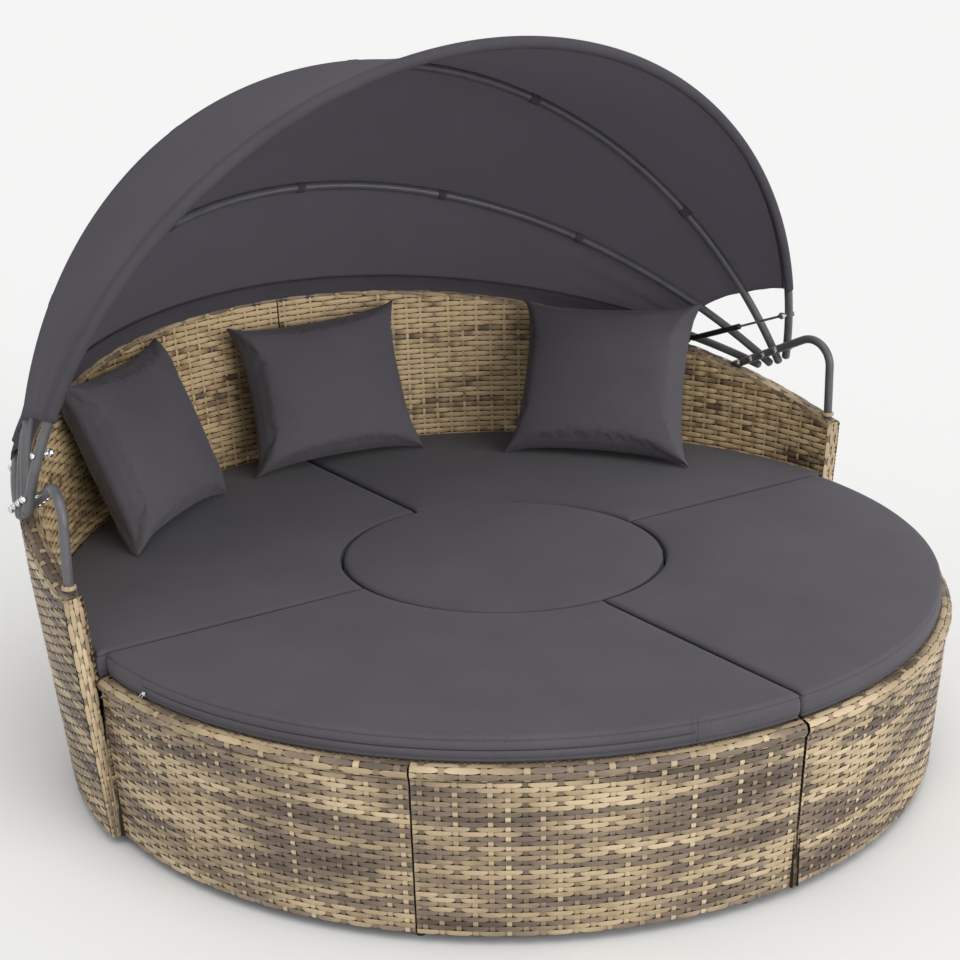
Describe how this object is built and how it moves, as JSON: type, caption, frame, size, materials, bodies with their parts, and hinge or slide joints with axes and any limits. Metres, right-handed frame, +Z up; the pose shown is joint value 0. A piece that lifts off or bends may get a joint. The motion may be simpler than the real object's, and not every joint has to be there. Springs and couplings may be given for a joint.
{
  "type": "outdoor daybed with canopy",
  "caption": "Round sectional outdoor daybed of woven resin on steel frames, with loose cushions and a folding hoop canopy held by gas struts.",
  "frame": {"origin": "on the floor under the middle of the whole daybed's box", "axes": "+Z up, +Y to the backrest, +X to the right seen from the front"},
  "size_m": [1.9082, 1.8672, 1.4307],
  "materials": {
    "wicker": "flat woven resin strands in mixed sand and grey-brown",
    "wicker_deck": "flat woven resin strands",
    "frame_metal": "black powder coat",
    "canopy_steel": "dark grey powder coat, satin",
    "strut_steel": "black gloss paint",
    "bright_metal": "bright plated",
    "seat_fabric": "dark warm grey woven polyester",
    "pillow_fabric": "warm grey woven polyester",
    "canopy_fabric": "dark warm grey coated polyester"
  },
  "bodies": {
    "sofa": {"right_sofa_wall": "wicker", "left_sofa_wall": "wicker", "right_sofa_skirt": "wicker", "left_sofa_skirt": "wicker", "right_sofa_deck": "wicker_deck", "left_sofa_deck": "wicker_deck", "right_sofa_frame": "frame_metal", "left_sofa_frame": "frame_metal", "link_bolt_inner": "bright_metal", "link_bolt_outer": "bright_metal", "right_seat_cushion": "seat_fabric", "left_seat_cushion": "seat_fabric", "right_rail": "canopy_steel", "left_rail": "canopy_steel", "hoop_1": "canopy_steel", "right_pivot_bolt_1": "bright_metal", "left_pivot_bolt_1": "bright_metal", "right_pivot_bolt_2": "bright_metal", "left_pivot_bolt_2": "bright_metal", "right_pivot_bolt_3": "bright_metal", "left_pivot_bolt_3": "bright_metal", "right_pivot_bolt_4": "bright_metal", "left_pivot_bolt_4": "bright_metal", "right_rear_ball_stud": "bright_metal", "left_rear_ball_stud": "bright_metal"},
    "rear_hoop": {"hoop_2": "canopy_steel", "rear_canopy_cloth": "canopy_fabric"},
    "middle_hoop": {"hoop_3": "canopy_steel", "middle_canopy_cloth": "canopy_fabric"},
    "front_hoop": {"hoop_4": "canopy_steel", "right_front_strut_pin": "bright_metal", "left_front_strut_pin": "bright_metal", "front_canopy_cloth": "canopy_fabric"},
    "right_cylinder": {"right_strut_cylinder": "strut_steel"},
    "left_cylinder": {"left_strut_cylinder": "strut_steel"},
    "right_rod": {"right_strut_rod": "bright_metal"},
    "left_rod": {"left_strut_rod": "bright_metal"},
    "right_ottoman": {"right_ottoman_skirt": "wicker", "right_ottoman_deck": "wicker_deck", "right_ottoman_frame": "frame_metal"},
    "left_ottoman": {"left_ottoman_skirt": "wicker", "left_ottoman_deck": "wicker_deck", "left_ottoman_frame": "frame_metal"},
    "right_ottoman_pad": {"right_ottoman_cushion": "seat_fabric"},
    "left_ottoman_pad": {"left_ottoman_cushion": "seat_fabric"},
    "zip": {"zip_slider": "bright_metal"},
    "table": {"table_drum": "wicker", "table_top": "wicker_deck", "table_frame": "frame_metal"},
    "table_pad": {"round_cushion": "seat_fabric"},
    "pillow_left": {"left_pillow": "pillow_fabric"},
    "pillow_middle": {"middle_pillow": "pillow_fabric"},
    "pillow_right": {"right_pillow": "pillow_fabric"}
  },
  "joints": [
    {"name": "canopy_fold", "type": "hinge", "parent": "sofa", "child": "front_hoop", "pos_m": [0, 0.13105, 0.65], "axis": [-1, 0, 0], "range_deg": [0, 84], "deforming": ["front_canopy_cloth"]},
    {"name": "middle_hoop_fold", "type": "hinge", "parent": "sofa", "child": "middle_hoop", "pos_m": [0, 0.16695, 0.63322], "axis": [-1, 0, 0], "range_deg": [0, 46.8], "deforming": ["middle_canopy_cloth"]},
    {"name": "rear_hoop_fold", "type": "hinge", "parent": "sofa", "child": "rear_hoop", "pos_m": [0, 0.20284, 0.61644], "axis": [-1, 0, 0], "range_deg": [0, 19.6], "deforming": ["rear_canopy_cloth"]},
    {"name": "right_strut_swing", "type": "hinge", "parent": "sofa", "child": "right_cylinder", "pos_m": [0.83669, 0.37461, 0.63735], "axis": [0.5548, 0.3919, 0.7339], "range_deg": [0, 9.25]},
    {"name": "left_strut_swing", "type": "hinge", "parent": "sofa", "child": "left_cylinder", "pos_m": [-0.83669, 0.37461, 0.63735], "axis": [0.5548, -0.3919, -0.7339], "range_deg": [0, 9.25]},
    {"name": "right_strut_slide", "type": "slide", "parent": "right_cylinder", "child": "right_rod", "axis": [0.2028, -0.9192, 0.3375], "range_m": [-0.1108, 0]},
    {"name": "left_strut_slide", "type": "slide", "parent": "left_cylinder", "child": "left_rod", "axis": [-0.2028, -0.9192, 0.3375], "range_m": [-0.1108, 0]},
    {"name": "right_ottoman_slide", "type": "slide", "parent": "sofa", "child": "right_ottoman", "axis": [0.7071, -0.7071, 0], "range_m": [0, 0.35]},
    {"name": "left_ottoman_slide", "type": "slide", "parent": "sofa", "child": "left_ottoman", "axis": [-0.7071, -0.7071, 0], "range_m": [0, 0.35]},
    {"name": "right_ottoman_cushion_lift", "type": "slide", "parent": "right_ottoman", "child": "right_ottoman_pad", "axis": [0, 0, 1], "range_m": [0, 0.15]},
    {"name": "left_ottoman_cushion_lift", "type": "slide", "parent": "left_ottoman", "child": "left_ottoman_pad", "axis": [0, 0, 1], "range_m": [0, 0.15]},
    {"name": "zip_travel", "type": "hinge", "parent": "left_ottoman_pad", "child": "zip", "pos_m": [0, -0.03555, 0.36], "axis": [0, 0, 1], "range_deg": [0, 64]},
    {"name": "table_lift", "type": "slide", "parent": "sofa", "child": "table", "axis": [0, 0, 1], "range_m": [0, 0.4]},
    {"name": "round_cushion_lift", "type": "slide", "parent": "table", "child": "table_pad", "axis": [0, 0, 1], "range_m": [0, 0.15]},
    {"name": "left_pillow_lift", "type": "slide", "parent": "sofa", "child": "pillow_left", "axis": [0.3023, -0.3983, 0.866], "range_m": [0, 0.15]},
    {"name": "middle_pillow_lift", "type": "slide", "parent": "sofa", "child": "pillow_middle", "axis": [-0.0497, -0.4975, 0.866], "range_m": [0, 0.15]},
    {"name": "right_pillow_lift", "type": "slide", "parent": "sofa", "child": "pillow_right", "axis": [-0.3967, -0.3044, 0.866], "range_m": [0, 0.15]}
  ],
  "couplings": [
    {"joint": "middle_hoop_fold", "follows": "canopy_fold", "ratio": 0.556},
    {"joint": "rear_hoop_fold", "follows": "canopy_fold", "ratio": 0.2316},
    {"joint": "right_strut_swing", "follows": "canopy_fold", "ratio": 0.10978},
    {"joint": "left_strut_swing", "follows": "canopy_fold", "ratio": 0.10978},
    {"joint": "right_strut_slide", "follows": "canopy_fold", "m_per_rad": -0.075457},
    {"joint": "left_strut_slide", "follows": "canopy_fold", "m_per_rad": -0.075457}
  ]
}
